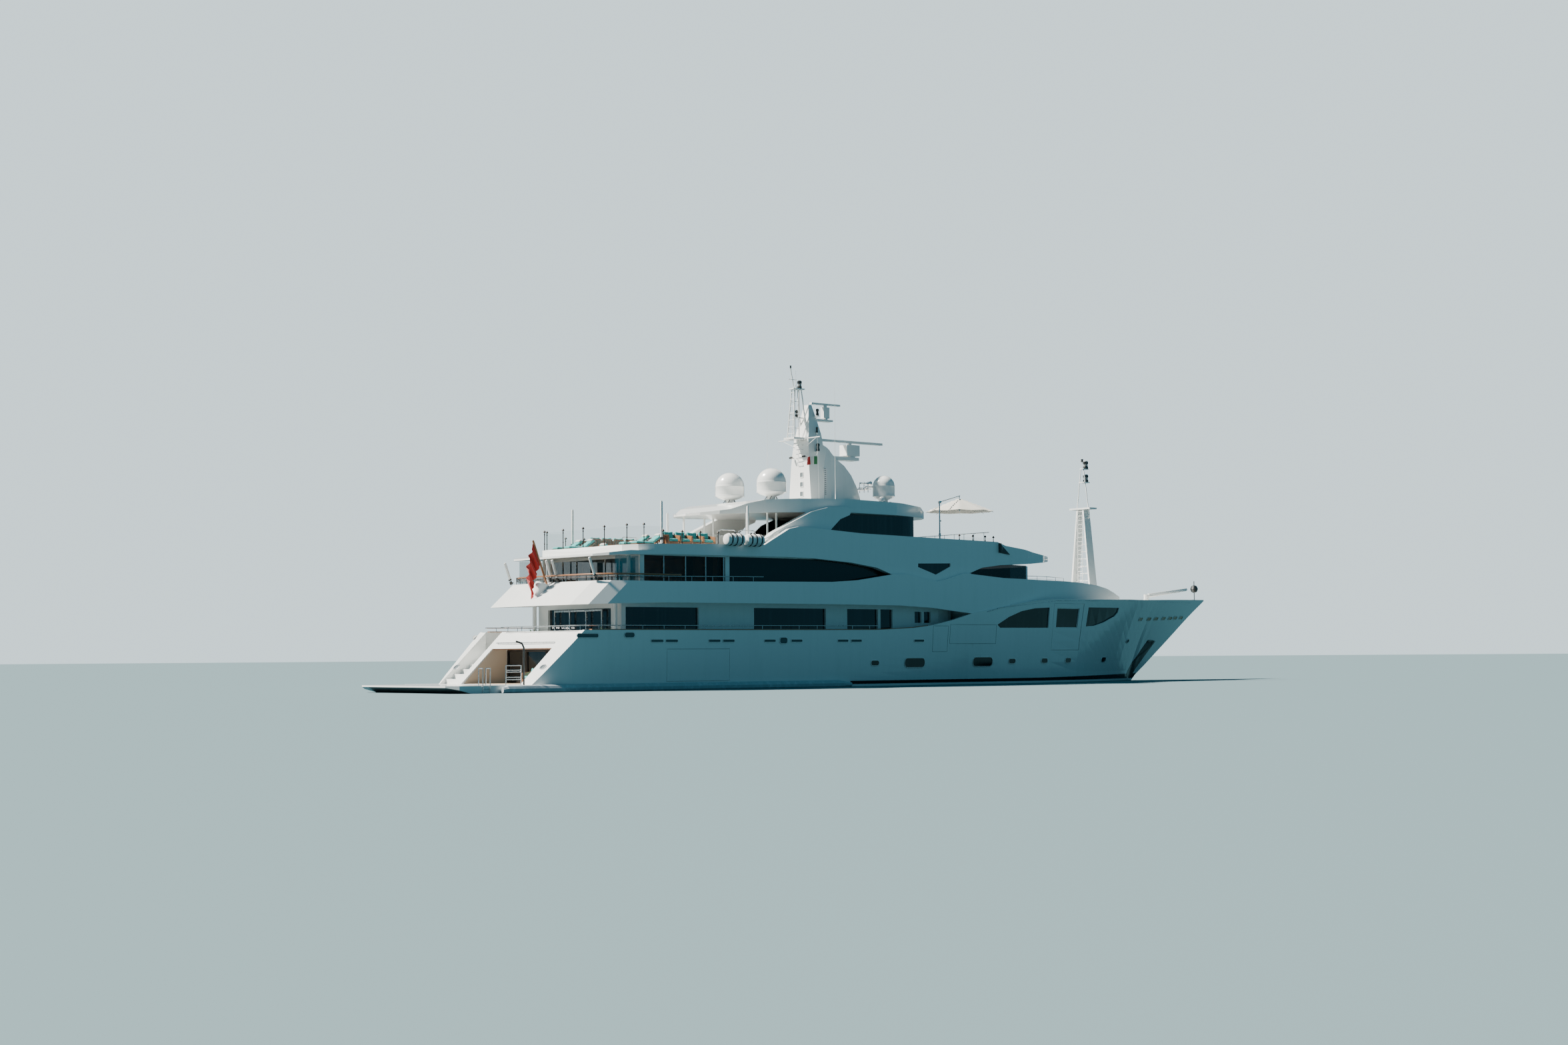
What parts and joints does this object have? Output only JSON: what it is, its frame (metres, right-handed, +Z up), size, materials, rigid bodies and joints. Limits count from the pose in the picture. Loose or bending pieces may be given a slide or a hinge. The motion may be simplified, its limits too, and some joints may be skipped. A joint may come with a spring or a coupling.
{
  "type": "motor yacht, scale model 1:2",
  "caption": "Motor yacht as a 1:2 model: raked bow, sloped stern with beach club and swim platform, stacked decks with dark glass, masts, radars, domes, hull doors, rudders and propellers.",
  "frame": {"origin": "on the centreline at the waterline, 15 m aft of the bow tip of the 1:2 model", "axes": "+X to the bow, +Y to port, +Z up"},
  "size_m": [33.45, 5.85, 11.694],
  "materials": {
    "white_paint": "gloss",
    "dark_glass": "tinted, near black",
    "stainless_steel": "polished",
    "bronze": "cast bronze",
    "grey_rubber": "satin",
    "black_gloss": "gloss",
    "red_fabric": "woven bunting",
    "turquoise_fabric": "outdoor fabric",
    "striped_canvas": "striped canvas",
    "teak": "oiled",
    "boot_top": "satin"
  },
  "bodies": {
    "yacht": {"hull": "white_paint", "hull_eye_window_starboard": "dark_glass", "hull_eye_window_port": "dark_glass", "hull_bow_window_starboard": "dark_glass", "hull_bow_window_port": "dark_glass", "rub_tube_starboard": "grey_rubber", "rub_tube_port": "grey_rubber", "swim_platform": "white_paint", "beach_club_doors": "dark_glass", "swim_ladder": "stainless_steel", "stern_rail": "stainless_steel", "stern_pole": "black_gloss", "propeller_shaft_starboard": "stainless_steel", "propeller_shaft_port": "stainless_steel", "stabiliser_fin_starboard": "white_paint", "stabiliser_fin_port": "white_paint", "main_deck_house": "white_paint", "main_deck_glass": "dark_glass", "upper_deck_wing": "white_paint", "upper_deck_house": "white_paint", "upper_deck_glass": "dark_glass", "foredeck_trunk": "white_paint", "bridge_glass": "dark_glass", "sundeck_wing": "white_paint", "triangle_window_starboard": "dark_glass", "triangle_window_port": "dark_glass", "sundeck_house_glass": "dark_glass", "hardtop": "white_paint", "mast": "white_paint", "antenna_frame": "white_paint", "dome_aft_starboard": "white_paint", "dome_aft_port": "white_paint", "dome_forward": "white_paint", "foremast": "white_paint", "bow_boom_stand": "white_paint", "jackstaff": "black_gloss", "flagstaff": "black_gloss", "ensign": "red_fabric", "main_rail_starboard": "stainless_steel", "main_rail_port": "stainless_steel", "upper_rail": "stainless_steel", "sundeck_rail": "stainless_steel", "sundeck_screen": "stainless_steel", "life_rafts_starboard": "white_paint", "life_rafts_port": "white_paint", "sundeck_loungers_starboard": "turquoise_fabric", "sundeck_loungers_port": "turquoise_fabric", "parasol_starboard": "striped_canvas", "parasol_port": "striped_canvas"},
    "balcony_door_port": {"balcony_door_port": "white_paint"},
    "balcony_door_starboard": {"balcony_door_starboard": "white_paint"},
    "bow_boom": {"bow_boom": "white_paint"},
    "propeller_port": {"propeller_port": "bronze"},
    "propeller_starboard": {"propeller_starboard": "bronze"},
    "radar_scanner_lower": {"radar_scanner_lower": "white_paint"},
    "radar_scanner_upper": {"radar_scanner_upper": "white_paint"},
    "rudder_port": {"rudder_port": "white_paint"},
    "rudder_starboard": {"rudder_starboard": "white_paint"},
    "shell_door_port": {"shell_door_port": "white_paint"},
    "shell_door_starboard": {"shell_door_starboard": "white_paint"}
  },
  "joints": [
    {"name": "lower_radar_turn", "type": "hinge", "parent": "yacht", "child": "radar_scanner_lower", "pos_m": [-2.275, 0, 7.7], "axis": [0, 0, 1], "continuous": true},
    {"name": "upper_radar_turn", "type": "hinge", "parent": "yacht", "child": "radar_scanner_upper", "pos_m": [-3.3, 0, 8.85], "axis": [0, 0, 1], "continuous": true},
    {"name": "starboard_propeller_turn", "type": "hinge", "parent": "yacht", "child": "propeller_starboard", "pos_m": [-13.4, -1.25, -1.275], "axis": [1, 0, 0], "continuous": true},
    {"name": "port_propeller_turn", "type": "hinge", "parent": "yacht", "child": "propeller_port", "pos_m": [-13.4, 1.25, -1.275], "axis": [1, 0, 0], "continuous": true},
    {"name": "starboard_rudder_turn", "type": "hinge", "parent": "yacht", "child": "rudder_starboard", "pos_m": [-14.5, -1.25, -1], "axis": [0, 0, 1], "range_deg": [-35, 35]},
    {"name": "port_rudder_turn", "type": "hinge", "parent": "yacht", "child": "rudder_port", "pos_m": [-14.5, 1.25, -1], "axis": [0, 0, 1], "range_deg": [-35, 35]},
    {"name": "starboard_shell_door_swing", "type": "hinge", "parent": "yacht", "child": "shell_door_starboard", "pos_m": [-10.4125, -2.66614, 1.135], "axis": [-1, 0.0024, 0], "range_deg": [0, 90]},
    {"name": "port_shell_door_swing", "type": "hinge", "parent": "yacht", "child": "shell_door_port", "pos_m": [-10.4125, 2.66614, 1.135], "axis": [1, 0.0024, 0], "range_deg": [0, 90]},
    {"name": "starboard_balcony_fold", "type": "hinge", "parent": "yacht", "child": "balcony_door_starboard", "pos_m": [5.2125, -2.20004, 1.1], "axis": [0.9864, 0.1643, 0], "range_deg": [0, 73]},
    {"name": "port_balcony_fold", "type": "hinge", "parent": "yacht", "child": "balcony_door_port", "pos_m": [5.2125, 2.20004, 1.1], "axis": [-0.9864, 0.1643, 0], "range_deg": [0, 73]},
    {"name": "bow_boom_slew", "type": "hinge", "parent": "yacht", "child": "bow_boom", "pos_m": [11.35, -0.45, 2.95], "axis": [0, 0, 1], "range_deg": [-90, 90]}
  ],
  "couplings": [
    {"joint": "port_rudder_turn", "follows": "starboard_rudder_turn", "ratio": 1}
  ]
}
